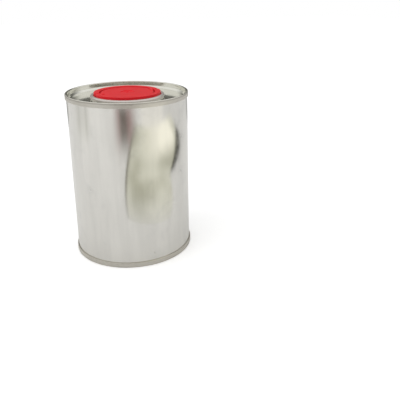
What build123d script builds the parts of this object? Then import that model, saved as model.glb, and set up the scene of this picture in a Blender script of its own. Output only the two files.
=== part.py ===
"""Round tinplate paint can, 500 ml class, with a pull-up pouring spout in its top end.

Units are millimetres. The origin is the middle of the bottom rim's plane, +Z is up, and
the two bails of the closure hinge along X, so one lifts from the -Y side and one from +Y.
"""

import os

from build123d import *

# Can
CAN_HEIGHT = 120.0
SEAM_RADIUS = 44.0
SHEET = 0.28  # tinplate thickness, the same for body, ends and crimp ring
SEAM_HEIGHT = 3.64
HOOK_LENGTH = 2.1
TOP_RECESS = 5.0  # from the top rim down to the top panel
BOTTOM_RECESS = 4.0
COMPOUND_INSET = 0.1  # from the hook's sheet lines, clear of the bends over it
CHUCK_TAPER = 0.85  # how far the chuck wall leans in below the seam
HOOK_BEND = 0.26  # bend radii, at the middle of the sheet
CREST_BEND = 0.4
PANEL_BEND = 0.7
PANEL_MIDDLE = 10.0
WELD_WIDTH = 0.9
WELD_RAISE = 0.08
WELD_ANGLE = 70.0
WELD_CLEAR = 0.5  # the weld bead stops this far short of each seam

# Neck opening of the top end, and the ring crimped over it
OPENING_RADIUS = 25.75
OPENING_HEIGHT = 1.5  # panel to the top of the turned-out lip
OPENING_BEND = 0.5
OPENING_GAP = 0.07  # to the spout's flange inside it
LIP_REACH = 0.65
CRIMP_WIDTH = 2.4
CRIMP_BEND = 1.1  # of the ring's outer shoulder, at the middle of the sheet
CRIMP_GAP = 0.02  # between the ring and what it grips

# Spout
SPOUT_WALL = 0.8
BEAD_HEIGHT = 1.28
FLANGE_DROP = 0.22  # foot of the flange's web below the foot of its bead
BELLOWS_RADIUS = 22.4
BELLOWS_FLOOR_RADIUS = 17.6
BELLOWS_DEPTH = 11.8
NECK_BORE = 10.5  # radius
NECK_WALL = 2.1
NECK_HEIGHT = 12.7

# Screw thread, 28 mm closure class
PITCH = 4.23
THREAD_DEPTH = 1.05
THREAD_CREST = 1.0
THREAD_ROOT = 2.2
THREAD_TURNS = 1.5
THREAD_START = 3.4  # lowest ridge above the neck's foot
THREAD_SINK = 0.15  # how far a ridge is sunk into its wall
THREAD_GAP = 0.30  # between a crest and the other part's wall
FLANK_GAP = 0.12
CAP_THREAD_CREST = 0.7
CAP_THREAD_TURNS = 1.25

# Cap
LINER = 1.0
LINER_GAP = 0.15
DISC_GAP = 1.0  # round the cap's disc, to the bails
CAP_DISC = 1.2
CAP_SKIRT_WALL = 1.25
CAP_SKIRT_DEPTH = 11.7
CAP_RIBS = 24
CAP_RIB = 0.4
CAP_RIB_WIDTH = 1.0
DIMPLE_RADIUS = 5.0
DIMPLE_DEPTH = 0.5
GATE_RADIUS = 0.9
GATE_HEIGHT = 0.25
DISC_ROUND = 0.35

# Bails and their hinges
BAIL_WIDTH = 4.0
BAIL_THICK = 2.4
BAIL_GAP = 0.3  # round the bails, to the crimp ring
BAIL_ABOVE_FLANGE = 0.3
BAIL_EDGE = 0.4
BAIL_APART = 0.6  # between the two bails when both stand up
BARREL_SHORT = 0.5  # of the bail's outer edge
BARREL_INSET = 0.1  # below the bail's two faces
PIN_RADIUS = 0.5
PIN_GAP = 0.05
PIN_SHORT = 0.5  # of the bail's outer edge
EAR_GAP = 0.3
EAR_DEPTH = 2.2
EAR_EDGE = 0.5  # beside each pin

# Derived levels and radii
half_sheet = SHEET / 2
crest_line = CAN_HEIGHT - half_sheet
seaming_line = SEAM_RADIUS - half_sheet
body_hook_line = seaming_line - SHEET
cover_hook_line = body_hook_line - SHEET
body_line = cover_hook_line - SHEET
chuck_line = body_line - SHEET
body_outer = body_line + half_sheet
crown_gap = 0.6 * SHEET  # room for sealing compound over the body hook
hook_crest = crest_line - SHEET - crown_gap
seam_foot = CAN_HEIGHT - SEAM_HEIGHT
cover_foot = seam_foot + half_sheet
top_panel = CAN_HEIGHT - TOP_RECESS - half_sheet
bottom_panel = BOTTOM_RECESS + half_sheet

opening_line = OPENING_RADIUS + half_sheet
lip_line = CAN_HEIGHT - TOP_RECESS + OPENING_HEIGHT - half_sheet
lip_end = OPENING_RADIUS + LIP_REACH
crimp_line = lip_end + CRIMP_GAP + half_sheet
crimp_inner_line = crimp_line + SHEET - CRIMP_WIDTH
tuck_line = lip_line - SHEET
tuck_end = opening_line + SHEET + CRIMP_GAP

bead_foot = lip_line + half_sheet + CRIMP_GAP
bead_top = bead_foot + BEAD_HEIGHT
bead_outer = crimp_line - half_sheet - CRIMP_GAP
bead_inner = crimp_inner_line + half_sheet + CRIMP_GAP
crimp_crest = bead_top + CRIMP_GAP + half_sheet
flange_foot = bead_foot - FLANGE_DROP
flange_top = flange_foot + SPOUT_WALL
crimp_edge = flange_top + CRIMP_GAP + half_sheet

floor_foot = flange_foot - BELLOWS_DEPTH
floor_top = floor_foot + SPOUT_WALL
neck_outer = NECK_BORE + NECK_WALL
neck_top = floor_foot + NECK_HEIGHT

flank_slope = (THREAD_ROOT - THREAD_CREST) / 2 / THREAD_DEPTH
cap_thread_root = CAP_THREAD_CREST + 2 * flank_slope * THREAD_DEPTH
middle_share = THREAD_DEPTH / 2 * flank_slope
ridge_drop = (THREAD_CREST + CAP_THREAD_CREST) / 2 + 2 * middle_share + FLANK_GAP
cap_bore = neck_outer + THREAD_DEPTH + THREAD_GAP
cap_under = neck_top + LINER
cap_top = cap_under + CAP_DISC
cap_foot = cap_under - CAP_SKIRT_DEPTH
cap_skirt_outer = cap_bore + CAP_SKIRT_WALL

bail_outer = crimp_inner_line - half_sheet - BAIL_GAP
bail_inner = bail_outer - BAIL_WIDTH
bail_foot = flange_top + BAIL_ABOVE_FLANGE
barrel_radius = BAIL_THICK / 2 - BARREL_INSET
barrel_length = BAIL_WIDTH - BARREL_SHORT
hinge_height = bail_foot + BAIL_THICK / 2
hinge_offset = BAIL_THICK / 2 + BAIL_APART / 2
ear_face = bail_inner - EAR_GAP
ear_half_width = hinge_offset + PIN_RADIUS + EAR_EDGE
cap_disc_radius = bail_inner - DISC_GAP


def sheet_profile(fold_line, bends):
    """Section of a turned sheet part: the middle line with its bend radii, given thickness."""
    with BuildSketch(Plane.XZ) as profile:
        with BuildLine():
            FilletPolyline(*fold_line, radius=bends)
            offset(amount=half_sheet)
        make_face()
    return profile.sketch


def solid_profile(corners, rounded=()):
    """Section of a turned solid part. rounded lists (place in corners, radius) pairs."""
    with BuildSketch(Plane.XZ) as profile:
        with BuildLine():
            Polyline(*corners, close=True)
        make_face()
        for place, radius in rounded:
            fillet([v for v in profile.vertices() if near(v, corners[place])], radius)
    return profile.sketch


def near(vertex, corner):
    """Whether a sketch vertex is the given (radius, height) corner."""
    return abs(vertex.X - corner[0]) < 1e-6 and abs(vertex.Y - corner[1]) < 1e-6


def tube_profile(inner, outer, foot, top):
    """Section of a plain ring, or of a disc where inner is 0."""
    return solid_profile([(inner, foot), (outer, foot), (outer, top), (inner, top)])


def ridge(wall, outward, base, crest, turns, start, turned):
    """Screw ridge standing on a round wall, as one swept solid sunk a little into the wall."""
    side = 1 if outward else -1
    with BuildPart() as thread:
        with BuildLine():
            path = Helix(PITCH, PITCH * turns, wall, center=(0, 0, start))
        with BuildSketch(Plane(path @ 0, x_dir=(side, 0, 0), z_dir=path % 0)):
            with BuildLine():
                Polyline(
                    (-THREAD_SINK, -base / 2),
                    (0, -base / 2),
                    (THREAD_DEPTH, -crest / 2),
                    (THREAD_DEPTH, crest / 2),
                    (0, base / 2),
                    (-THREAD_SINK, base / 2),
                    close=True,
                )
            make_face()
        sweep(path=path, is_frenet=True)
    return Rot(0, 0, turned) * thread.part


# Body: one rolled sheet with a hook at each end and its welded side seam
foot_crest = CAN_HEIGHT - hook_crest
with BuildPart() as body_shell:
    revolve(
        sheet_profile(
            [
                (body_hook_line, hook_crest - HOOK_LENGTH),
                (body_hook_line, hook_crest),
                (body_line, hook_crest),
                (body_line, foot_crest),
                (body_hook_line, foot_crest),
                (body_hook_line, foot_crest + HOOK_LENGTH),
            ],
            HOOK_BEND,
        ),
        axis=Axis.Z,
    )
    with BuildSketch(Plane.XY.offset(SEAM_HEIGHT + WELD_CLEAR)):
        Circle(body_outer + WELD_RAISE)
        Circle(body_outer - half_sheet, mode=Mode.SUBTRACT)
        with Locations(Rot(0, 0, WELD_ANGLE) * Pos(body_outer, 0, 0)):
            Rectangle(SHEET * 4, WELD_WIDTH, mode=Mode.INTERSECT)
    extrude(amount=CAN_HEIGHT - 2 * (SEAM_HEIGHT + WELD_CLEAR))

# Bottom end: seamed over the body, with a chuck wall and a recessed panel
with BuildPart() as bottom_end:
    revolve(
        sheet_profile(
            [
                (cover_hook_line, SEAM_HEIGHT - half_sheet - HOOK_LENGTH),
                (cover_hook_line, SEAM_HEIGHT - half_sheet),
                (seaming_line, SEAM_HEIGHT - half_sheet),
                (seaming_line, half_sheet),
                (chuck_line, half_sheet),
                (chuck_line, SEAM_HEIGHT - SHEET),
                (chuck_line - CHUCK_TAPER, bottom_panel),
                (PANEL_MIDDLE, bottom_panel),
            ],
            [HOOK_BEND, HOOK_BEND, CREST_BEND, CREST_BEND, PANEL_BEND, PANEL_BEND],
        ),
        axis=Axis.Z,
    )
    revolve(
        tube_profile(0, PANEL_MIDDLE + SHEET, BOTTOM_RECESS, BOTTOM_RECESS + SHEET),
        axis=Axis.Z,
    )

# Top end: the same seam, and an opening with a raised neck whose lip turns out
with BuildPart() as top_end:
    revolve(
        sheet_profile(
            [
                (cover_hook_line, cover_foot + HOOK_LENGTH),
                (cover_hook_line, cover_foot),
                (seaming_line, cover_foot),
                (seaming_line, crest_line),
                (chuck_line, crest_line),
                (chuck_line, seam_foot + SHEET),
                (chuck_line - CHUCK_TAPER, top_panel),
                (opening_line, top_panel),
                (opening_line, lip_line),
                (lip_end - half_sheet, lip_line),
            ],
            [
                HOOK_BEND,
                HOOK_BEND,
                CREST_BEND,
                CREST_BEND,
                PANEL_BEND,
                PANEL_BEND,
                OPENING_BEND,
                HOOK_BEND,
            ],
        ),
        axis=Axis.Z,
    )

# Sealing compound: a thin ring between each body hook and the end curled over it
with BuildPart() as top_seam_compound:
    revolve(
        tube_profile(
            body_line + COMPOUND_INSET,
            body_hook_line - COMPOUND_INSET,
            hook_crest + half_sheet,
            hook_crest + half_sheet + crown_gap,
        ),
        axis=Axis.Z,
    )

with BuildPart() as bottom_seam_compound:
    revolve(
        tube_profile(
            body_line + COMPOUND_INSET,
            body_hook_line - COMPOUND_INSET,
            foot_crest - half_sheet - crown_gap,
            foot_crest - half_sheet,
        ),
        axis=Axis.Z,
    )

# Crimp ring: curls over the spout's flange and tucks in under the opening's lip
with BuildPart() as crimp_ring:
    revolve(
        sheet_profile(
            [
                (crimp_inner_line, crimp_edge),
                (crimp_inner_line, crimp_crest),
                (crimp_line, crimp_crest),
                (crimp_line, tuck_line),
                (tuck_end, tuck_line),
            ],
            [CREST_BEND, CRIMP_BEND, HOOK_BEND],
        ),
        axis=Axis.Z,
    )

# Spout flange: a bead held in the crimp ring, with a web reaching in to the bellows
with BuildPart() as spout_flange:
    web_outer = OPENING_RADIUS - OPENING_GAP
    revolve(
        solid_profile(
            [
                (BELLOWS_RADIUS, flange_foot),
                (web_outer, flange_foot),
                (web_outer, bead_foot),
                (bead_outer, bead_foot),
                (bead_outer, bead_top),
                (bead_inner, bead_top),
                (bead_inner, flange_top),
                (BELLOWS_RADIUS, flange_top),
            ],
            [
                (4, CRIMP_BEND - half_sheet - CRIMP_GAP),
                (5, CREST_BEND - half_sheet - CRIMP_GAP),
            ],
        ),
        axis=Axis.Z,
    )

# Spout bellows: a thin cone hanging in the can, with a floor that carries the neck
with BuildPart() as spout_bellows:
    revolve(
        solid_profile(
            [
                (BELLOWS_RADIUS, flange_top),
                (BELLOWS_RADIUS - SPOUT_WALL, flange_top),
                (BELLOWS_FLOOR_RADIUS - SPOUT_WALL, floor_top),
                (neck_outer, floor_top),
                (neck_outer, floor_foot),
                (BELLOWS_FLOOR_RADIUS, floor_foot),
                (BELLOWS_RADIUS, flange_foot),
            ],
            [(2, SPOUT_WALL / 2), (5, SPOUT_WALL / 2)],
        ),
        axis=Axis.Z,
    )

# Spout neck: a straight bore to pour through, threaded outside
with BuildPart() as spout_neck:
    revolve(tube_profile(NECK_BORE, neck_outer, floor_foot, neck_top), axis=Axis.Z)
    add(
        ridge(
            neck_outer,
            True,
            THREAD_ROOT,
            THREAD_CREST,
            THREAD_TURNS,
            floor_foot + THREAD_START,
            0,
        )
    )

# Cap: a wide disc over a ribbed skirt that screws onto the neck, with an ear at each side
with BuildPart() as cap:
    revolve(tube_profile(0, cap_disc_radius, cap_under, cap_top), axis=Axis.Z)
    fillet(cap.edges().filter_by(GeomType.CIRCLE), DISC_ROUND)
    revolve(tube_profile(cap_bore, cap_skirt_outer, cap_foot, cap_under), axis=Axis.Z)
    revolve(
        tube_profile(0, DIMPLE_RADIUS, cap_top - DIMPLE_DEPTH, cap_top),
        axis=Axis.Z,
        mode=Mode.SUBTRACT,
    )
    revolve(
        tube_profile(0, GATE_RADIUS, cap_top - DIMPLE_DEPTH, cap_top - DIMPLE_DEPTH + GATE_HEIGHT),
        axis=Axis.Z,
    )
    with BuildSketch(Plane.XY.offset(cap_foot)):
        with PolarLocations(cap_skirt_outer, CAP_RIBS):
            Rectangle(2 * CAP_RIB, CAP_RIB_WIDTH)
    extrude(amount=cap_under - cap_foot)
    with BuildSketch(Plane.XY.offset(bail_foot)):
        with Locations((ear_face - EAR_DEPTH / 2, 0), (EAR_DEPTH / 2 - ear_face, 0)):
            Rectangle(EAR_DEPTH, 2 * ear_half_width)
    extrude(amount=BAIL_THICK)
    for side in (1, -1):
        root = (side * (ear_face - EAR_DEPTH / 2), 0, hinge_height)
        with BuildSketch(Plane(origin=root, x_dir=(0, 1, 0), z_dir=(side, 0, 0))):
            with Locations((hinge_offset, 0), (-hinge_offset, 0)):
                Circle(PIN_RADIUS)
        extrude(amount=EAR_DEPTH / 2 + bail_outer - PIN_SHORT - ear_face)
    add(
        ridge(
            cap_bore,
            False,
            cap_thread_root,
            CAP_THREAD_CREST,
            CAP_THREAD_TURNS,
            floor_foot + THREAD_START + PITCH / 2 - ridge_drop,
            180,
        )
    )

# Cap liner: a soft disc between the cap and the neck's top
with BuildPart() as cap_liner:
    revolve(tube_profile(0, cap_bore - LINER_GAP, neck_top, cap_under), axis=Axis.Z)


def build_bail(toward):
    """One half-ring bail, toward the -Y side (-1) or the +Y side (1), with its two barrels."""
    with BuildPart() as bail:
        with BuildSketch(Plane.XY.offset(bail_foot)):
            Circle(bail_outer)
            Circle(bail_inner, mode=Mode.SUBTRACT)
            with Locations((0, toward * (hinge_offset + bail_outer / 2))):
                Rectangle(2 * bail_outer, bail_outer, mode=Mode.INTERSECT)
        extrude(amount=BAIL_THICK)
        rims = bail.edges().filter_by(GeomType.CIRCLE)
        fillet(rims, BAIL_EDGE)
        for side in (1, -1):
            plane = Plane(
                origin=(side * bail_inner, toward * hinge_offset, hinge_height),
                z_dir=(side, 0, 0),
            )
            with BuildSketch(plane):
                Circle(barrel_radius)
            extrude(amount=barrel_length)
            with BuildSketch(plane.offset(-EAR_GAP)):
                Circle(PIN_RADIUS + PIN_GAP)
            extrude(amount=2 * EAR_GAP + bail_outer - bail_inner, mode=Mode.SUBTRACT)
    return bail.part


with BuildPart() as bail_front:
    add(build_bail(-1))

with BuildPart() as bail_rear:
    add(build_bail(1))

os.makedirs("parts", exist_ok=True)
body_shell.part.label = "body_shell"
export_step(body_shell.part, "parts/body_shell.step")
bottom_end.part.label = "bottom_end"
export_step(bottom_end.part, "parts/bottom_end.step")
top_end.part.label = "top_end"
export_step(top_end.part, "parts/top_end.step")
top_seam_compound.part.label = "top_seam_compound"
export_step(top_seam_compound.part, "parts/top_seam_compound.step")
bottom_seam_compound.part.label = "bottom_seam_compound"
export_step(bottom_seam_compound.part, "parts/bottom_seam_compound.step")
crimp_ring.part.label = "crimp_ring"
export_step(crimp_ring.part, "parts/crimp_ring.step")
spout_flange.part.label = "spout_flange"
export_step(spout_flange.part, "parts/spout_flange.step")
spout_bellows.part.label = "spout_bellows"
export_step(spout_bellows.part, "parts/spout_bellows.step")
spout_neck.part.label = "spout_neck"
export_step(spout_neck.part, "parts/spout_neck.step")
cap.part.label = "cap"
export_step(cap.part, "parts/cap.step")
cap_liner.part.label = "cap_liner"
export_step(cap_liner.part, "parts/cap_liner.step")
bail_front.part.label = "bail_front"
export_step(bail_front.part, "parts/bail_front.step")
bail_rear.part.label = "bail_rear"
export_step(bail_rear.part, "parts/bail_rear.step")
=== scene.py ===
"""Looks of the round tinplate paint can and its red pull-up pouring spout."""

import math

import bmesh
import bpy
from mathutils import Matrix, Vector


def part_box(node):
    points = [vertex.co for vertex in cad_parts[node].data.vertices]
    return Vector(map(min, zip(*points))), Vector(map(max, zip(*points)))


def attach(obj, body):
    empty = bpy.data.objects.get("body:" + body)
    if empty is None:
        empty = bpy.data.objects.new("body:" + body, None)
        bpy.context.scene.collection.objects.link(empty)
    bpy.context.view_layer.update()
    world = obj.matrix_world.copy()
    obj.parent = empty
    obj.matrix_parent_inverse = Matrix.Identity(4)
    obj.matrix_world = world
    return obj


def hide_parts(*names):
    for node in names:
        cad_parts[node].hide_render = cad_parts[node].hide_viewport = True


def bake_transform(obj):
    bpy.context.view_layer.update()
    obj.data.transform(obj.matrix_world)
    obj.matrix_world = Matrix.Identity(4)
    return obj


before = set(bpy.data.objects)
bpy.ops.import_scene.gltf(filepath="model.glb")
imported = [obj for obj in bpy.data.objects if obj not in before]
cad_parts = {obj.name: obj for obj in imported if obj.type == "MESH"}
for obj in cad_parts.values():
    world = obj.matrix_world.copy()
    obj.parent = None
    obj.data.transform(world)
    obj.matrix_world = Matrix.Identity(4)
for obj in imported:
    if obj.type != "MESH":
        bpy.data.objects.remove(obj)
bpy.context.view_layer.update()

# ---------------------------------------------------------------- sizes, in millimetres
MM = 0.001
SHEET = 0.28
HALF = SHEET / 2
FINE_STEP = math.radians(14)  # of a bend
ROUND = 256  # points in a turn of plain sheet
RIBBED_ROUND = 384  # points in a turn with ribs or crimping marks


def reach_of(node):
    """Largest distance of a CAD node from the can's axis, from its box, in millimetres."""
    low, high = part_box(node)
    return max(high[0], high[1], -low[0], -low[1]) / MM


def span_of(node):
    """Lowest and highest level of a CAD node, in millimetres."""
    low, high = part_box(node)
    return low[2] / MM, high[2] / MM


RIM = round(reach_of("top_end"), 1)
HEIGHT = round(span_of("top_end")[1], 2)
SEAM = 3.64
SEAMING = RIM - HALF
BODY_HOOK = SEAMING - SHEET
COVER_HOOK = BODY_HOOK - SHEET
BODY = COVER_HOOK - SHEET
CHUCK = BODY - SHEET
TAPER = 0.85
HOOK = 2.1
HOOK_CREST = 0.728  # body hook's middle line, below the crest
TOP_PANEL = round(span_of("top_end")[0], 2) + HALF
BOTTOM_PANEL = round(span_of("bottom_end")[1], 2) - HALF
WELD_ANGLE = math.radians(70)
WELD_WIDTH = 0.9
WELD_RAISE = 0.08
WELD_FLANK = 0.12
BODY_WAVES = (  # lobes round the body, size, turn, twist per millimetre of height
    (2, 0.07, 0.6, 0.021),
    (5, 0.05, 0.0, 0.034),
    (3, 0.04, 1.9, -0.052),
    (9, 0.012, 0.0, 0.11),
)

OPENING = 25.75 + HALF
OPENING_GAP = 0.07  # to the flange inside it
LIP = span_of("crimp_ring")[0] + SHEET + HALF
CRIMP = reach_of("crimp_ring")
CRIMP_FOOT, CRIMP_TOP = span_of("crimp_ring")
CRIMP_WIDTH = 2.4
FIT = 0.02  # between the ring and what it grips
CRIMP_PINCHES = 24
PINCH_DEPTH = 0.07

WALL = 0.8  # of the flange's web and of the bellows
FLANGE_FOOT, BEAD_TOP = span_of("spout_flange")
FLANGE_TOP = FLANGE_FOOT + WALL
BELLOWS = reach_of("spout_bellows")
FLOOR_FOOT = span_of("spout_bellows")[0]
FLOOR_RADIUS = 17.6
BORE = 10.5
NECK = 12.6
NECK_TOP = span_of("spout_neck")[1]
PITCH = 4.23
RIDGE = 1.05
RIDGE_SINK = 0.15  # into the wall under it
RIDGE_START = FLOOR_FOOT + 3.4

CAP_FOOT = span_of("cap")[0]
CAP_UNDER = span_of("cap_liner")[1]
DISC = 19.0
DISC_THICK = 1.2
CAP_TOP = CAP_UNDER + DISC_THICK
DIMPLE, DIMPLE_DEPTH = 5.0, 0.5
GATE, GATE_HEIGHT = 0.9, 0.25
CAP_BORE = 13.95
LINER_GAP = 0.15
SKIRT = 15.2
CAP_RIBS = 24
CAP_RIB = 0.4

BAIL_FOOT, BAIL_TOP = span_of("bail_front")
BAIL_INNER = 20.0
BAIL_OUTER = 24.0
HINGE_OFFSET = 1.5
HINGE_LEVEL = (BAIL_FOOT + BAIL_TOP) / 2
EAR_FACE = 19.7
EAR_DEPTH = 2.2
EAR_HALF_WIDTH = 2.5
PIN = 0.5
PIN_SINK = 0.5  # into the ear
PIN_BORE = 0.55
BARREL = (BAIL_TOP - BAIL_FOOT) / 2 - 0.1
BARREL_LENGTH = 3.5


# ---------------------------------------------------------------- outlines
def bend(corner, into, out, radius):
    """Points of one bend, from the run along into to the run along out."""
    turn = math.atan2(into.x * out.y - into.y * out.x, into.dot(out))
    if abs(turn) < 1e-4 or radius <= 0:
        return [corner.copy()]
    side = math.copysign(1, turn)
    start = corner - into * radius * math.tan(abs(turn) / 2)
    centre = start + Vector((-into.y, into.x)) * side * radius
    steps = max(2, math.ceil(abs(turn) / FINE_STEP))
    spoke = start - centre
    points = []
    for i in range(steps + 1):
        angle = turn * i / steps
        cos, sin = math.cos(angle), math.sin(angle)
        points.append(centre + Vector((spoke.x * cos - spoke.y * sin, spoke.x * sin + spoke.y * cos)))
    return points


def rounded(corners, radii, closed=False):
    """Runs between (radius, height) corners, each inner corner turned on its own radius."""
    points = [Vector(c) for c in corners]
    count = len(points)
    line = [] if closed else [points[0]]
    which = range(count) if closed else range(1, count - 1)
    for place, i in enumerate(which):
        before, corner, after = points[i - 1], points[i], points[(i + 1) % count]
        radius = radii[place] if isinstance(radii, (list, tuple)) else radii
        line += bend(corner, (corner - before).normalized(), (after - corner).normalized(), radius)
    return line if closed else line + [points[-1]]


def with_supports(line, closed=False, longest=None):
    """The outline with extra points near the ends of its long runs, which keep their shading flat."""
    result = []
    count = len(line)
    for i in range(count if closed else count - 1):
        start, end = line[i], line[(i + 1) % count]
        result.append(start)
        length = (end - start).length
        if length > 0.9:
            cuts = [0.15 / length, 1 - 0.15 / length]
            if longest and length > longest:
                extra = math.ceil(length / longest)
                cuts += [k / extra for k in range(1, extra)]
            result += [start.lerp(end, cut) for cut in sorted(cuts)]
    return result if closed else result + [line[-1]]


def sheet_outline(corners, radii, longest=None):
    """Closed outline of bent sheet whose middle line has these corners and bend radii."""
    line = with_supports(rounded(corners, radii), longest=longest)
    runs = [(b - a).normalized() for a, b in zip(line, line[1:])]
    left, right = [], []
    for i, point in enumerate(line):
        before = runs[max(i - 1, 0)]
        after = runs[min(i, len(runs) - 1)]
        across = Vector((-before.y - after.y, before.x + after.x)).normalized()
        reach = HALF / max(0.5, across.dot(Vector((-before.y, before.x))))
        left.append(point + across * reach)
        right.append(point - across * reach)

    def edge(centre, outward):
        start = math.atan2(outward.y, outward.x) + math.pi / 2
        turns = [start - math.pi * k / 6 for k in range(1, 6)]
        return [centre + HALF * Vector((math.cos(t), math.sin(t))) for t in turns]

    end_cap = edge(line[-1], runs[-1]) if line[-1].x > HALF * 1.5 else []
    start_cap = edge(line[0], -runs[0]) if line[0].x > HALF * 1.5 else []
    return left + end_cap + right[::-1] + start_cap


# ---------------------------------------------------------------- meshes
def full_turn(count):
    """Evenly spaced angles of one turn."""
    return [2 * math.pi * k / count for k in range(count)]


def turned(mesh, outline, shape=None, angles=None, matrix=None):
    """Adds an outline of (radius, height) points turned round the axis to a bmesh.

    shape(angle, radius, height) may move each point. A run of points on the axis closes there.
    """
    angles = angles or full_turn(ROUND)
    matrix = matrix or Matrix.Identity(4)
    rings = []
    for point in outline:
        radius, height = point
        if radius < 1e-6:
            rings.append([mesh.verts.new(matrix @ Vector((0, 0, height)) * MM)])
            continue
        ring = []
        for angle in angles:
            r, z = shape(angle, radius, height) if shape else (radius, height)
            place = Vector((r * math.cos(angle), r * math.sin(angle), z))
            ring.append(mesh.verts.new(matrix @ place * MM))
        rings.append(ring)
    count = len(angles)
    made = []
    for one, two in zip(rings, rings[1:] + rings[:1]):
        if len(one) == 1 and len(two) == 1:
            continue
        for k in range(count):
            corners = [one[k % len(one)], one[(k + 1) % count % len(one)]]
            corners += [two[(k + 1) % count % len(two)], two[k % len(two)]]
            corners = list(dict.fromkeys(corners))
            made.append(mesh.faces.new(corners))
    bmesh.ops.recalc_face_normals(mesh, faces=made)


def swept(mesh, sections):
    """Adds a solid through a row of closed sections with the same number of points."""
    rows = [[mesh.verts.new(p * MM) for p in section] for section in sections]
    made = []
    for one, two in zip(rows, rows[1:]):
        for k in range(len(one)):
            nxt = (k + 1) % len(one)
            made.append(mesh.faces.new([one[k], one[nxt], two[nxt], two[k]]))
    made.append(mesh.faces.new(rows[0][::-1]))
    made.append(mesh.faces.new(rows[-1]))
    bmesh.ops.recalc_face_normals(mesh, faces=made)


def block(mesh, low, high, edge, steps=3):
    """Adds a box between two corners with its edges rounded."""
    low, high = Vector(low), Vector(high)
    made = bmesh.ops.create_cube(mesh, size=1.0)["verts"]
    for vert in made:
        at = Vector((0.5 + vert.co.x, 0.5 + vert.co.y, 0.5 + vert.co.z))
        vert.co = Vector([low[i] + (high[i] - low[i]) * at[i] for i in range(3)]) * MM
    edges = list({e for v in made for e in v.link_edges})
    bmesh.ops.bevel(mesh, geom=edges, offset=edge * MM, segments=steps, profile=0.5, affect="EDGES")


def screw_ridge(mesh, wall, outward, base, crest, turns, start, first):
    """Adds a screw ridge on a round wall. Its ends run out to nothing over a sixth of a turn."""
    side = 1 if outward else -1
    edge_drop, edge_out, edge_in = 0.22, 0.16, 0.1  # small bevel along the crest
    steps = round(96 * turns)
    sections = []
    for i in range(steps + 1):
        gone = i / steps * turns
        angle = first + 2 * math.pi * gone
        level = start + PITCH * gone
        fade = max(0.04, min(1, gone * 6, (turns - gone) * 6))
        root, tip = wall - side * RIDGE_SINK, wall + side * RIDGE * fade
        flank = [(root, base / 2), (wall, base / 2)]
        flank += [(tip - side * edge_drop * fade, crest / 2 + edge_out), (tip, crest / 2 - edge_in)]
        profile = [(r, -w) for r, w in flank] + [(r, w) for r, w in flank[::-1]]
        out = Vector((math.cos(angle), math.sin(angle), 0))
        sections.append([out * r + Vector((0, 0, level + up)) for r, up in profile])
    swept(mesh, sections)


def piece(name, mesh, material, body, *nodes, slot="tinplate"):
    """Makes a finished object of a bmesh: smooth, with its material, moving with a CAD body."""
    data = bpy.data.meshes.new(name)
    mesh.to_mesh(data)
    mesh.free()
    data.shade_smooth()
    obj = bpy.data.objects.new(name, data)
    bpy.context.scene.collection.objects.link(obj)
    data.materials.append(material)
    if body:
        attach(obj, body)
    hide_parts(*nodes)
    return obj


# ---------------------------------------------------------------- shader helpers
class Value:
    """A shader socket that can be used in sums."""

    def __init__(self, nodes, socket):
        self.nodes = nodes
        self.socket = socket

    def _maths(self, operation, *others):
        return self.nodes.add("ShaderNodeMath", {"operation": operation}, *others)

    def __add__(self, other):
        return self._maths("ADD", self, other)

    def __sub__(self, other):
        return self._maths("SUBTRACT", self, other)

    def __rsub__(self, other):
        return self._maths("SUBTRACT", other, self)

    def __mul__(self, other):
        return self._maths("MULTIPLY", self, other)

    def __truediv__(self, other):
        return self._maths("DIVIDE", self, other)

    def __abs__(self):
        return self._maths("ABSOLUTE", self)

    __radd__ = __add__
    __rmul__ = __mul__

    def arctan2(self, other):
        return self._maths("ARCTAN2", self, other)

    def root(self):
        return self._maths("SQRT", self)

    def most(self, other):
        return self._maths("MAXIMUM", self, other)


class Shading:
    """Adds nodes to a material's or the world's tree."""

    def __init__(self, tree):
        self.tree = tree

    def add(self, kind, settings, *values, out=0, **sockets):
        """A node of any kind: its settings first, then the values or links of its sockets."""
        node = self.tree.nodes.new(kind)
        for name, value in settings.items():
            if name == "stops":
                ramp = node.color_ramp
                for i, (at, colour) in enumerate(value):
                    stop = ramp.elements[i] if i < 2 else ramp.elements.new(at)
                    stop.position = at
                    stop.color = colour
            else:
                setattr(node, name, value)
        named = list(enumerate(values)) + [(k.replace("_", " "), v) for k, v in sockets.items()]
        for key, value in named:
            if isinstance(value, Value):
                self.tree.links.new(value.socket, node.inputs[key])
            else:
                node.inputs[key].default_value = value
        return Value(self, node.outputs[out])

    def parts(self, vector):
        """The three numbers of a vector."""
        first = self.add("ShaderNodeSeparateXYZ", {}, vector)
        return [Value(self, socket) for socket in first.socket.node.outputs]

    def join(self, x, y, z):
        return self.add("ShaderNodeCombineXYZ", {}, x, y, z)

    def noise(self, where, scale, detail=3.0, roughness=0.5):
        return self.add(
            "ShaderNodeTexNoise", {}, Vector=where, Scale=scale, Detail=detail, Roughness=roughness
        )

    def ramp(self, factor, low, high):
        """0 below low, 1 above high, smooth between."""
        return self.add(
            "ShaderNodeMapRange", {"interpolation_type": "SMOOTHSTEP"}, factor, low, high, 0.0, 1.0
        )

    def mix(self, factor, one, two):
        node = self.tree.nodes.new("ShaderNodeMix")
        node.data_type = "RGBA"
        for key, value in ((0, factor), (6, one), (7, two)):
            if isinstance(value, Value):
                self.tree.links.new(value.socket, node.inputs[key])
            else:
                node.inputs[key].default_value = value
        return Value(self, node.outputs[2])

    def ray_is(self, *kinds):
        """1 for rays of these kinds, otherwise 0."""
        path = self.tree.nodes.new("ShaderNodeLightPath")
        total = 0
        for kind in kinds:
            total = Value(self, path.outputs[f"Is {kind} Ray"]).most(total)
        return total


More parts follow.
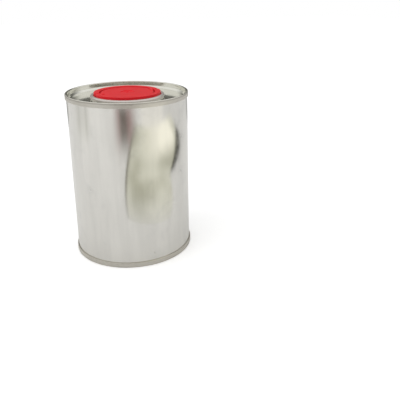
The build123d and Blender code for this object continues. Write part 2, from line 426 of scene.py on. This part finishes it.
class Finish(Shading):
    """A material being built round its Principled shader."""

    def __init__(self, name, **constants):
        self.material = bpy.data.materials.new(name)
        self.material.use_nodes = True
        super().__init__(self.material.node_tree)
        self.shader = self.tree.nodes["Principled BSDF"]
        for socket, value in constants.items():
            self.shader.inputs[socket.replace("_", " ")].default_value = value
        self.place = self.add("ShaderNodeTexCoord", {}, out="Object")
        self.x, self.y, self.z = self.parts(self.place)
        self.radius = (self.x * self.x + self.y * self.y).root()
        self.angle = self.y.arctan2(self.x)

    def give(self, **sockets):
        for name, value in sockets.items():
            self.tree.links.new(value.socket, self.shader.inputs[name.replace("_", " ")])

    def bump(self, height, strength, distance):
        normal = self.add("ShaderNodeBump", {}, Strength=strength, Distance=distance * MM, Height=height)
        self.give(Normal=normal)


def rgb(red, green, blue):
    return (red, green, blue, 1.0)


# ---------------------------------------------------------------- materials
def body_tinplate():
    """Bright rolled tinplate: rolling lines and soft streaks up the body, cloudy handling marks."""
    f = Finish("bright tinplate", Metallic=1.0)
    around = f.angle * 0.043  # metres along the sheet
    lines = f.noise(f.join(around, 0.0, f.z * 0.02), 1400.0, 4.0, 0.7)
    clouds = f.noise(f.place, 34.0, 3.0, 0.55)
    smudges = f.ramp(f.noise(f.place, 75.0, 4.0, 0.6), 0.52, 0.72)
    streaks = f.ramp(f.noise(f.join(around, 0.0, f.z * 0.14), 130.0, 3.0, 0.6), 0.36, 0.66)
    tin = f.mix(clouds, rgb(0.70, 0.685, 0.65), rgb(0.80, 0.785, 0.75))
    tin = f.mix(streaks * 0.3, tin, rgb(0.62, 0.61, 0.585))
    tin = f.mix(smudges * 0.4, tin, rgb(0.63, 0.62, 0.60))
    f.give(Base_Color=tin, Roughness=0.11 + lines * 0.07 + smudges * 0.09 + streaks * 0.05)
    f.bump(lines + clouds * 0.8, 0.12, 0.05)
    return f.material


def end_tinplate():
    """Tinplate of the seamed ends: duller on the seam, which the seaming rolls have burnished, with a
    painted highlight along the top seam's crest and painted shade on the seam band just below it.
    """
    f = Finish("seamed end tinplate", Metallic=1.0)
    rings = f.noise(f.join(f.radius, f.z, f.angle * 0.0006), 3800.0, 3.0, 0.65)
    clouds = f.noise(f.place, 40.0, 3.0, 0.55)
    marks = f.ramp(f.noise(f.join(f.angle * 0.02, f.radius, f.z), 900.0, 2.0, 0.6), 0.58, 0.75)
    seam = f.ramp(f.radius, (CHUCK + 0.1) * MM, (CHUCK + 0.7) * MM)
    tin = f.mix(clouds, rgb(0.74, 0.735, 0.68), rgb(0.82, 0.815, 0.77))
    rolled = f.mix(rings, rgb(0.50, 0.475, 0.43), rgb(0.68, 0.655, 0.60))
    tin = f.mix(seam, tin, rolled)
    tin = f.mix(seam * marks * 0.4, tin, rgb(0.34, 0.32, 0.28))
    # Painted light on the top seam: a painted highlight along its crest and painted shade on the band just
    # below it.
    crest = f.ramp(f.z, (HEIGHT - 0.35) * MM, (HEIGHT - 0.12) * MM)
    shade_under_crest = f.ramp(f.z, (HEIGHT - 1.5) * MM, (HEIGHT - 1.0) * MM) * (1 - crest)
    # painted shade: the seam band just below the top crest drawn darker
    tin = f.mix(seam * shade_under_crest * 0.45, tin, rgb(0.30, 0.28, 0.25))
    # painted highlight: the top seam's crest drawn lighter
    tin = f.mix(seam * crest * 0.8, tin, rgb(0.92, 0.90, 0.85))
    f.give(Base_Color=tin, Roughness=0.08 + clouds * 0.05 + seam * (0.2 + rings * 0.12))
    f.bump(rings * (0.25 + seam * 0.75) + clouds * 0.3, 0.18, 0.05)
    return f.material


def crimp_tinplate():
    """Tinplate of the crimp ring: worn along its crest."""
    f = Finish("crimp ring tinplate", Metallic=1.0)
    rings = f.noise(f.join(f.radius, f.z, f.angle * 0.0006), 4200.0, 3.0, 0.65)
    marks = f.ramp(f.noise(f.join(f.angle * 0.024, f.radius, f.z * 0.3), 900.0, 2.0, 0.6), 0.55, 0.72)
    crest = f.ramp(f.z, (CRIMP_TOP - 0.35) * MM, CRIMP_TOP * MM)
    tin = f.mix(rings, rgb(0.62, 0.59, 0.565), rgb(0.74, 0.70, 0.675))
    tin = f.mix(marks * (1 - crest) * 0.4, tin, rgb(0.45, 0.42, 0.40))
    f.give(Base_Color=tin, Roughness=0.33 + rings * 0.1 + crest * 0.05)
    f.bump(rings, 0.15, 0.04)
    return f.material


def red_polyethylene():
    """Moulded red polyethylene: fine mould texture, faint flow bands, scuffed high edges."""
    f = Finish("red polyethylene", Subsurface_Weight=0.08, Subsurface_Scale=0.001, Specular_IOR_Level=0.22)
    f.shader.inputs["Subsurface Radius"].default_value = (1.0, 0.25, 0.15)
    grain = f.noise(f.place, 2600.0, 3.0, 0.6)
    flow = f.noise(f.join(f.x, f.y * 0.35, f.z), 120.0, 3.0, 0.55)
    scuffs = f.ramp(f.noise(f.join(f.x * 0.4, f.y * 1.6, f.z), 620.0, 5.0, 0.7), 0.62, 0.8)
    red = f.mix(flow, rgb(0.76, 0.010, 0.020), rgb(0.87, 0.022, 0.032))
    red = f.mix(scuffs * 0.35, red, rgb(0.86, 0.20, 0.19))
    f.give(Base_Color=red, Roughness=0.30 + grain * 0.10 + scuffs * 0.22)
    f.bump(grain + flow * 0.6, 0.22, 0.04)
    return f.material


def white_foam():
    """Closed-cell foam of the cap's liner, with its cut cells."""
    f = Finish("white liner foam", Specular_IOR_Level=0.3)
    cells = f.add("ShaderNodeTexVoronoi", {}, Vector=f.place, Scale=2600.0)
    tone = f.noise(f.place, 160.0, 2.0, 0.5)
    white = f.mix(tone, rgb(0.76, 0.75, 0.72), rgb(0.86, 0.855, 0.83))
    f.give(Base_Color=white, Roughness=0.75 + cells * 0.15)
    f.bump(cells, 0.35, 0.08)
    return f.material


def sealing_compound():
    """Dried sealing compound, dull and slightly granular."""
    f = Finish("sealing compound")
    grain = f.noise(f.place, 1800.0, 4.0, 0.65)
    drab = f.mix(grain, rgb(0.36, 0.33, 0.27), rgb(0.52, 0.49, 0.41))
    f.give(Base_Color=drab, Roughness=0.6 + grain * 0.25)
    f.bump(grain, 0.4, 0.06)
    return f.material


BRIGHT = body_tinplate()
ENDS = end_tinplate()
CRIMPED = crimp_tinplate()
RED = red_polyethylene()
FOAM = white_foam()
COMPOUND = sealing_compound()


# ---------------------------------------------------------------- can
def body_wave(angle, radius, height):
    """Body sheet's small unevenness, which fades out at the seams, and the raised weld."""
    fading = 14
    along = max(0.0, min(1.0, (height - SEAM) / fading, (HEIGHT - SEAM - height) / fading))
    fade = along * along * (3 - 2 * along)
    wave = sum(
        size * math.sin(lobes * angle + turn + height * twist) for lobes, size, turn, twist in BODY_WAVES
    )
    off = abs((angle - WELD_ANGLE + math.pi) % (2 * math.pi) - math.pi) * BODY
    weld = WELD_RAISE * max(0.0, min(1.0, (WELD_WIDTH / 2 + WELD_FLANK - off) / WELD_FLANK))
    outside = radius > BODY and SEAM + 0.5 < height < HEIGHT - SEAM - 0.5
    return radius + fade * wave + (weld if outside else 0), height


def make_body():
    crest = HEIGHT - HOOK_CREST
    corners = [
        (BODY_HOOK, crest - HOOK),
        (BODY_HOOK, crest),
        (BODY, crest),
        (BODY, HOOK_CREST),
        (BODY_HOOK, HOOK_CREST),
        (BODY_HOOK, HOOK_CREST + HOOK),
    ]
    edge = WELD_WIDTH / 2
    steps = (edge - 0.05, edge, edge + WELD_FLANK, edge + WELD_FLANK + 0.05)
    near_weld = [WELD_ANGLE + side * step / BODY for side in (-1, 1) for step in steps]
    angles = sorted(set(full_turn(ROUND) + near_weld))
    mesh = bmesh.new()
    turned(mesh, sheet_outline(corners, 0.26, longest=2.5), body_wave, angles)
    piece("can_body", mesh, BRIGHT, "can", "body_shell")


def make_top_end():
    corners = [
        (COVER_HOOK, HEIGHT - SEAM + HALF + HOOK),
        (COVER_HOOK, HEIGHT - SEAM + HALF),
        (SEAMING, HEIGHT - SEAM + HALF),
        (SEAMING, HEIGHT - HALF),
        (CHUCK, HEIGHT - HALF),
        (CHUCK, HEIGHT - SEAM + SHEET),
        (CHUCK - TAPER, TOP_PANEL),
        (OPENING, TOP_PANEL),
        (OPENING, LIP),
        (CRIMP - SHEET - FIT - HALF, LIP),
    ]
    mesh = bmesh.new()
    turned(mesh, sheet_outline(corners, [0.26, 0.26, 0.4, 0.4, 0.7, 0.7, 0.5, 0.26], longest=4))
    piece("top_end_sheet", mesh, ENDS, "can", "top_end")


def make_bottom_end():
    corners = [
        (COVER_HOOK, SEAM - HALF - HOOK),
        (COVER_HOOK, SEAM - HALF),
        (SEAMING, SEAM - HALF),
        (SEAMING, HALF),
        (CHUCK, HALF),
        (CHUCK, SEAM - SHEET),
        (CHUCK - TAPER, BOTTOM_PANEL),
        (0, BOTTOM_PANEL),
    ]
    mesh = bmesh.new()
    turned(mesh, sheet_outline(corners, [0.26, 0.26, 0.4, 0.4, 0.7, 0.7], longest=6))
    piece("bottom_end_sheet", mesh, ENDS, "can", "bottom_end")


def crimp_marks(angle, radius, height):
    """Shallow pinches of the crimping jaws round the foot of the ring."""
    low = max(0.0, min(1.0, (CRIMP_TOP - 0.7 - height) / 0.6)) if radius > CRIMP - 0.6 else 0.0
    pinch = max(0.0, math.cos(CRIMP_PINCHES * angle)) ** 6
    return radius - PINCH_DEPTH * pinch * low, height


def make_crimp_ring():
    inner = CRIMP - CRIMP_WIDTH + HALF
    corners = [
        (inner, FLANGE_TOP + FIT + HALF),
        (inner, CRIMP_TOP - HALF),
        (CRIMP - HALF, CRIMP_TOP - HALF),
        (CRIMP - HALF, CRIMP_FOOT + HALF),
        (OPENING + SHEET + FIT, CRIMP_FOOT + HALF),
    ]
    mesh = bmesh.new()
    outline = sheet_outline(corners, [0.4, 1.1, 0.26], longest=0.5)
    turned(mesh, outline, crimp_marks, full_turn(RIBBED_ROUND))
    piece("crimp_ring_sheet", mesh, CRIMPED, "can", "crimp_ring")


# ---------------------------------------------------------------- spout
def make_flange():
    inner = CRIMP - CRIMP_WIDTH + SHEET + FIT
    outer = CRIMP - SHEET - FIT
    shank = OPENING - HALF - OPENING_GAP
    corners = [
        (BELLOWS, FLANGE_FOOT),
        (shank, FLANGE_FOOT),
        (shank, LIP + HALF + FIT),
        (outer, LIP + HALF + FIT),
        (outer, BEAD_TOP),
        (inner, BEAD_TOP),
        (inner, FLANGE_TOP),
        (BELLOWS, FLANGE_TOP),
    ]
    outline = with_supports(rounded(corners, [0.05, 0.1, 0.05, 0.1, 0.94, 0.24, 0.1, 0.05], True), True)
    mesh = bmesh.new()
    turned(mesh, outline)
    piece("spout_flange_ring", mesh, RED, "can", "spout_flange", slot="red_plastic")


def make_bellows():
    corners = [
        (BELLOWS, FLANGE_TOP),
        (BELLOWS - WALL, FLANGE_TOP),
        (FLOOR_RADIUS - WALL, FLOOR_FOOT + WALL),
        (NECK, FLOOR_FOOT + WALL),
        (NECK, FLOOR_FOOT),
        (FLOOR_RADIUS, FLOOR_FOOT),
        (BELLOWS, FLANGE_FOOT),
    ]
    outline = rounded(corners, [0.03, 0.1, 0.5, 0.03, 0.03, 0.5, 0.1], True)
    mesh = bmesh.new()
    turned(mesh, with_supports(outline, True, longest=0.5))
    obj = piece("spout_cone", mesh, RED, None, "spout_bellows", slot="red_plastic")
    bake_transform(obj)


def make_neck():
    corners = [(BORE, FLOOR_FOOT), (NECK, FLOOR_FOOT), (NECK, NECK_TOP), (BORE, NECK_TOP)]
    mesh = bmesh.new()
    turned(mesh, with_supports(rounded(corners, [0.2, 0.1, 0.25, 0.25], True), True))
    screw_ridge(mesh, NECK, True, 2.2, 1.0, 1.5, RIDGE_START, 0)
    piece("pouring_neck", mesh, RED, "spout", "spout_neck", slot="red_plastic")


def skirt_ribs(angle, radius, height):
    """Gripping ribs down the outside of the cap's skirt."""
    if radius < SKIRT - 0.05 or height > CAP_UNDER - 0.2:
        return radius, height
    rib = max(0.0, math.cos(CAP_RIBS * angle)) ** 3
    return radius + CAP_RIB * rib, height


def add_ear(mesh, side):
    """Adds an ear of the cap with its two hinge pins."""
    near, far = sorted((side * (EAR_FACE - EAR_DEPTH), side * EAR_FACE))
    block(mesh, (near, -EAR_HALF_WIDTH, BAIL_FOOT), (far, EAR_HALF_WIDTH, BAIL_TOP), 0.28)
    reach = BAIL_OUTER - EAR_FACE
    pin = rounded([(0, 0), (PIN, 0), (PIN, reach), (0, reach)], [0, 0.15])
    for y in (HINGE_OFFSET, -HINGE_OFFSET):
        along = Matrix.Translation((side * (EAR_FACE - PIN_SINK), y, HINGE_LEVEL))
        along = along @ Matrix.Rotation(side * math.pi / 2, 4, "Y")
        turned(mesh, with_supports(pin), angles=full_turn(32), matrix=along)


def make_cap():
    mesh = bmesh.new()
    dimple_floor = CAP_TOP - DIMPLE_DEPTH
    corners = [
        (0, dimple_floor + GATE_HEIGHT),
        (GATE, dimple_floor + GATE_HEIGHT),
        (GATE, dimple_floor),
        (DIMPLE, dimple_floor),
        (DIMPLE, CAP_TOP),
        (DISC, CAP_TOP),
        (DISC, CAP_UNDER),
        (SKIRT, CAP_UNDER),
        (SKIRT, CAP_FOOT),
        (CAP_BORE, CAP_FOOT),
        (CAP_BORE, CAP_UNDER),
        (0, CAP_UNDER),
    ]
    radii = [0.12, 0.1, 0.3, 0.25, 0.35, 0.35, 0.3, 0.2, 0.2, 0.2]
    outline = with_supports(rounded(corners, radii), longest=2.5)
    turned(mesh, outline, skirt_ribs, full_turn(RIBBED_ROUND))
    screw_ridge(mesh, CAP_BORE, False, 1.9, 0.7, 1.25, RIDGE_START + PITCH / 2 - 1.57, math.pi)
    for side in (1, -1):
        add_ear(mesh, side)
    piece("screw_cap", mesh, RED, "cap", "cap", slot="red_plastic")


def make_liner():
    outer = CAP_BORE - LINER_GAP
    corners = [(0, NECK_TOP), (outer, NECK_TOP), (outer, CAP_UNDER), (0, CAP_UNDER)]
    mesh = bmesh.new()
    turned(mesh, with_supports(rounded(corners, [0.12, 0.12])))
    piece("foam_liner", mesh, FOAM, "liner", "cap_liner", slot="white_foam")


def make_bail(side, name, node, body):
    """Half-ring bail of a rounded bar, with a hinge barrel at each end."""
    mesh = bmesh.new()
    foot = [(BAIL_INNER, BAIL_FOOT), (BAIL_OUTER, BAIL_FOOT)]
    top = [(BAIL_OUTER, BAIL_TOP), (BAIL_INNER, BAIL_TOP)]
    outline = with_supports(rounded(foot + top, 0.4, True), True)
    steps = 144
    sections = []
    for i in range(steps + 1):
        section = []
        for radius, height in outline:
            first = math.asin(HINGE_OFFSET / radius)
            angle = side * (first + (math.pi - 2 * first) * i / steps)
            section.append(Vector((radius * math.cos(angle), radius * math.sin(angle), height)))
        sections.append(section)
    swept(mesh, sections)
    corners = [(PIN_BORE, 0), (BARREL, 0), (BARREL, BARREL_LENGTH), (PIN_BORE, BARREL_LENGTH)]
    barrel = with_supports(rounded(corners, [0.06, 0.15, 0.15, 0.06], True), True)
    for end in (1, -1):
        along = Matrix.Translation((end * BAIL_INNER, side * HINGE_OFFSET, HINGE_LEVEL))
        along = along @ Matrix.Rotation(end * math.pi / 2, 4, "Y")
        turned(mesh, barrel, angles=full_turn(48), matrix=along)
    piece(name, mesh, RED, body, node, slot="red_plastic")


make_body()
make_top_end()
make_bottom_end()
make_crimp_ring()
make_flange()
make_bellows()
make_neck()
make_cap()
make_liner()
make_bail(-1, "front_bail_ring", "bail_front", "front_bail")
make_bail(1, "rear_bail_ring", "bail_rear", "rear_bail")

for node in ("top_seam_compound", "bottom_seam_compound"):
    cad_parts[node].data.materials.clear()
    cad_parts[node].data.materials.append(COMPOUND)


# ---------------------------------------------------------------- studio
HEADING = math.radians(60)  # the way the camera faces, from +X
EYE = (64.9, -359.9, 187.9)  # camera, across, away and up from the can's foot
LENS = 45
SHIFT = (-0.0425, -0.1075)  # of the lens, in frame widths
PITCH_DOWN = math.radians(18.2)
ROLL = math.radians(-0.18)
AWAY = Vector((math.cos(HEADING), math.sin(HEADING), 0))
ACROSS = Vector((math.sin(HEADING), -math.cos(HEADING), 0))


def at(across, away, up):
    """A place in metres from millimetres across and away from the can's foot, seen from the camera."""
    return (ACROSS * across + AWAY * away + Vector((0, 0, up))) * MM


def add_camera():
    data = bpy.data.cameras.new("camera")
    data.lens = LENS
    data.sensor_width = 36
    data.shift_x, data.shift_y = SHIFT
    data.clip_start = 0.01
    camera = bpy.data.objects.new("camera", data)
    camera.location = at(*EYE)
    camera.rotation_euler = (math.pi / 2 - PITCH_DOWN, ROLL, HEADING - math.pi / 2)
    bpy.context.scene.collection.objects.link(camera)
    bpy.context.scene.camera = camera


def add_floor():
    """Wide pale floor. To the eye it is white and keeps the shadow; reflections see it plain."""
    mesh = bmesh.new()
    bmesh.ops.create_grid(mesh, x_segments=8, y_segments=8, size=3.0)
    data = bpy.data.meshes.new("floor")
    mesh.to_mesh(data)
    mesh.free()
    floor = bpy.data.objects.new("floor", data)
    bpy.context.scene.collection.objects.link(floor)
    f = Finish("pale floor", Roughness=1.0, Specular_IOR_Level=0.0, Emission_Strength=1.0)
    seen = f.ray_is("Camera")
    f.give(
        Base_Color=f.mix(seen, rgb(0.88, 0.88, 0.865), rgb(0.96, 0.96, 0.96)),
        Emission_Color=f.mix(seen, rgb(0, 0, 0), rgb(0.26, 0.26, 0.26)),
    )
    data.materials.append(f.material)


def add_card(name, mesh, paint):
    """Studio reflector that only mirrors see. paint(finish) gives its colour and its coverage."""
    data = bpy.data.meshes.new(name)
    mesh.to_mesh(data)
    mesh.free()
    data.shade_smooth()
    card = bpy.data.objects.new(name, data)
    card.visible_camera = False
    card.visible_shadow = False
    card.visible_diffuse = False
    bpy.context.scene.collection.objects.link(card)
    f = Finish(name + " face", Roughness=1.0, Specular_IOR_Level=0.0, Emission_Strength=1.0)
    f.shader.inputs["Base Color"].default_value = rgb(0, 0, 0)
    colour, coverage = paint(f)
    f.give(Emission_Color=colour, Alpha=coverage)
    data.materials.append(f.material)


def upright(centre, width, height):
    """Mesh of an upright card that faces the can's axis, centred across and away at this place."""
    across, away, up = centre
    out = Vector((across, away)).normalized()
    side = Vector((-out.y, out.x)) * width / 2
    mesh = bmesh.new()
    corners = [(-1, -1), (1, -1), (1, 1), (-1, 1)]
    places = [at(across + side.x * u, away + side.y * u, up + height / 2 * v) for u, v in corners]
    mesh.faces.new([mesh.verts.new(place) for place in places])
    return mesh


def card_place(f, centre):
    """Millimetres along an upright card and up it, from its centre."""
    across, away, up = centre
    out = Vector((across, away)).normalized()
    along = ACROSS * -out.y + AWAY * out.x
    u = (f.x * along.x + f.y * along.y) / MM
    return u, f.z / MM - up


def band(f, value, low, high, soft):
    """1 between low and high, with soft ends outside them."""
    return f.ramp(value, low - soft, low) * (1 - f.ramp(value, high, high + soft))


def add_streak_card():
    """Dark soft card in front of the can, warm red to its sides."""
    centre = (10, -230, 52)

    def paint(f):
        u, v = card_place(f, centre)
        sides = f.ramp(abs(u + 8), 10, 38)
        colour = f.mix(sides, rgb(0.10, 0.072, 0.052), rgb(0.25, 0.10, 0.09))
        across = f.ramp(u, -95, -12) * (1 - f.ramp(u, 15, 100))
        upward = f.ramp(v, -36, -2) * (1 - f.ramp(v, 22, 32))
        return colour, across * upward * 0.93

    add_card("streak card", upright(centre, 240, 104), paint)


def add_side_streaks():
    """Faint grey card to the left of the can, with two darker slips."""
    centre = (-193, -52, 60)

    def paint(f):
        u, v = card_place(f, centre)
        coverage = band(f, u, -55, 45, 25) * 0.16
        coverage = coverage + band(f, u, 27, 33, 7) * 0.3 + band(f, u, -35, -28, 9) * 0.22
        tone = f.mix(f.ramp(v, 0, 20), rgb(0.30, 0.31, 0.22), rgb(0.24, 0.24, 0.18))
        return tone, coverage * f.ramp(v, -25, 2)

    add_card("side streak card", upright(centre, 190, 120), paint)


def add_pale_card():
    """Pale soft card to the right, over the cream reflector."""
    centre = (158, -123, 75)

    def paint(f):
        u, v = card_place(f, centre)
        coverage = band(f, u, -52, 40, 50) * (1 - f.ramp(v, 15, 50))
        return f.mix(f.ramp(v, -40, 40), rgb(1.02, 1.0, 0.93), rgb(0.97, 0.96, 0.92)), coverage * 0.8

    add_card("pale card", upright(centre, 210, 130), paint)


def add_cream_reflector():
    """Low curved reflector at the can's right, cream along its top and greener lower down."""
    near, far = Vector((30, -98)), Vector((119, -16))
    along = (far - near).normalized()
    side = Vector((-along.y, along.x))
    mesh = bmesh.new()
    rows = []
    for i in range(25):
        turn = math.pi * 1.25 * i / 24 - math.pi * 0.125
        out, up = math.cos(turn) * 44, 44 + math.sin(turn) * 44
        rows.append([mesh.verts.new(at(*(end + side * out), up)) for end in (near, far)])
    for one, two in zip(rows, rows[1:]):
        mesh.faces.new([one[0], one[1], two[1], two[0]])
    run = ACROSS * along.x + AWAY * along.y
    start = near.dot(along)
    length = (far - near).length

    def paint(f):
        gone = (f.x * run.x + f.y * run.y) / MM - start
        height = f.z / MM
        bright = f.ramp(height, 68, 83) * f.ramp(gone, 12, 60) * (1 - f.ramp(gone, 88, 110))
        clouds = f.noise(f.place, 22.0, 2.0, 0.5)
        low = f.mix(f.ramp(clouds, 0.35, 0.65), rgb(0.50, 0.50, 0.40), rgb(0.82, 0.82, 0.71))
        colour = f.mix(bright, low, rgb(1.17, 1.15, 1.01))
        colour = f.mix(1 - f.ramp(gone, 2, 6), colour, rgb(0.30, 0.29, 0.25))
        far_end = 1 - f.ramp(gone + (1 - f.ramp(height, 60, 84)) * 58, length - 9, length - 1)
        return colour, f.ramp(gone, -2, 1) * far_end * f.ramp(height, 6, 62)

    add_card("cream reflector", mesh, paint)


def add_dark_edge():
    """Dark crescent beyond the reflector."""
    centre = (129.5, 11.3, 45)

    def paint(f):
        u, v = card_place(f, centre)
        rise = v - 12
        coverage = 1 - f.ramp(u + rise * rise * 0.1, 24, 31)
        return f.mix(f.ramp(v, -40, 40), rgb(0.035, 0.035, 0.026), rgb(0.06, 0.06, 0.045)), coverage

    add_card("edge card", upright(centre, 90, 100), paint)


def add_low_backdrop():
    """Dark low card behind the can, which only its far edges mirror."""
    centre = (-60, 330, 30)

    def paint(f):
        u, v = card_place(f, centre)
        coverage = band(f, u, -130, 130, 170) * band(f, v, -8, 4, 24)
        return f.mix(f.ramp(v, -20, 20), rgb(0.14, 0.14, 0.13), rgb(0.2, 0.2, 0.19)), coverage * 0.9

    add_card("low backdrop", upright(centre, 620, 70), paint)


def add_light(name, centre, size, power):
    """Round soft light aimed at the can's middle, which mirrors don't show."""
    data = bpy.data.lights.new(name, "AREA")
    data.shape = "DISK"
    data.size = size
    data.energy = power
    light = bpy.data.objects.new(name, data)
    light.location = centre
    light.visible_glossy = False
    middle = at(0, 0, HEIGHT / 2)
    light.rotation_euler = (middle - centre).to_track_quat("-Z", "Y").to_euler()
    bpy.context.scene.collection.objects.link(light)


def add_world():
    """White room to the eye. Reflections see pale walls, darker low down behind the can."""
    world = bpy.data.worlds.new("studio")
    bpy.context.scene.world = world
    world.use_nodes = True
    w = Shading(world.node_tree)
    x, y, up = w.parts(w.add("ShaderNodeTexCoord", {}, out="Generated"))
    behind = w.ramp(x * AWAY.x + y * AWAY.y, 0.35, 0.92)
    low = 1 - w.ramp(up, 0.38, 0.55)
    walls = w.mix(behind * low, rgb(0.90, 0.90, 0.87), rgb(0.13, 0.13, 0.115))
    front = w.ramp(x * -AWAY.x - y * AWAY.y, -0.1, 0.7) * (1 - w.ramp(up, 0.25, 0.65))
    soft = w.mix(front, rgb(0.86, 0.86, 0.86), rgb(0.34, 0.34, 0.34))
    ahead = w.ramp(x * -AWAY.x - y * AWAY.y, 0.5, 0.8) * (1 - w.ramp(up, 0.30, 0.45))
    walls = w.mix(ahead, walls, rgb(0.58, 0.58, 0.54))
    light = w.mix(w.ray_is("Glossy"), soft, walls)
    colour = w.mix(w.ray_is("Camera"), light, rgb(1, 1, 1))
    background = world.node_tree.nodes["Background"]
    world.node_tree.links.new(colour.socket, background.inputs["Color"])


add_camera()
add_floor()
add_light("key light", at(-500, -350, 700), 1.0, 2.0)
add_streak_card()
add_side_streaks()
add_pale_card()
add_cream_reflector()
add_dark_edge()
add_low_backdrop()
add_world()

scene = bpy.context.scene
scene.view_settings.view_transform = "Standard"
